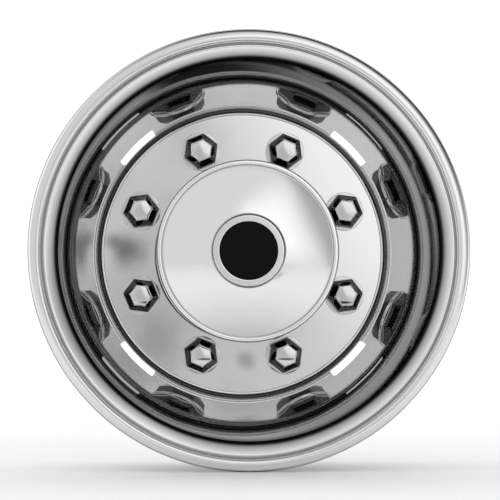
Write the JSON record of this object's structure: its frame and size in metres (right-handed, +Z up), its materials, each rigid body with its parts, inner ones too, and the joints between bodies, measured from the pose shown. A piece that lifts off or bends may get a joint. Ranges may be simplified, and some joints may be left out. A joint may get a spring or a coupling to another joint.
{
  "type": "wheel cover",
  "caption": "Deep-dish polished cover for an outer rear truck wheel: rolled lip, steep barrel, slotted cone, flat disc with capped lugs and a tall domed hub cover.",
  "frame": {"origin": "on the wheel axis, in the plane of the two jam nuts' back faces, where they meet the wheel's own nuts", "axes": "+Y along the wheel axis into the wheel, so the visible front faces -Y; +Z up; +X to the right as seen from the front"},
  "size_m": [0.52, 0.2181, 0.5198],
  "materials": {
    "polished_stainless": "mirror-polished stainless steel sheet",
    "lug_chrome": "bright chrome plate",
    "badge_black": "smooth black",
    "spring_steel": "bright spring steel",
    "zinc_steel": "zinc plated"
  },
  "bodies": {
    "root": {"wheel_liner": "polished_stainless", "hub_cover": "polished_stainless", "badge_blank": "badge_black", "lug_cover_1": "lug_chrome", "lug_cover_2": "lug_chrome", "lug_cover_3": "lug_chrome", "lug_cover_4": "lug_chrome", "lug_cover_5": "lug_chrome", "lug_cover_6": "lug_chrome", "lug_cover_7": "lug_chrome", "lug_cover_8": "lug_chrome", "lug_retainer_1": "spring_steel", "lug_retainer_2": "spring_steel", "lug_retainer_3": "spring_steel", "lug_retainer_5": "spring_steel", "lug_retainer_6": "spring_steel", "lug_retainer_7": "spring_steel", "jam_nut_4": "zinc_steel", "jam_nut_8": "zinc_steel", "lug_sleeve_4": "zinc_steel", "lug_sleeve_8": "zinc_steel", "hub_clip_1": "spring_steel", "hub_clip_2": "spring_steel", "hub_clip_3": "spring_steel", "hub_clip_4": "spring_steel"}
  },
  "joints": []
}
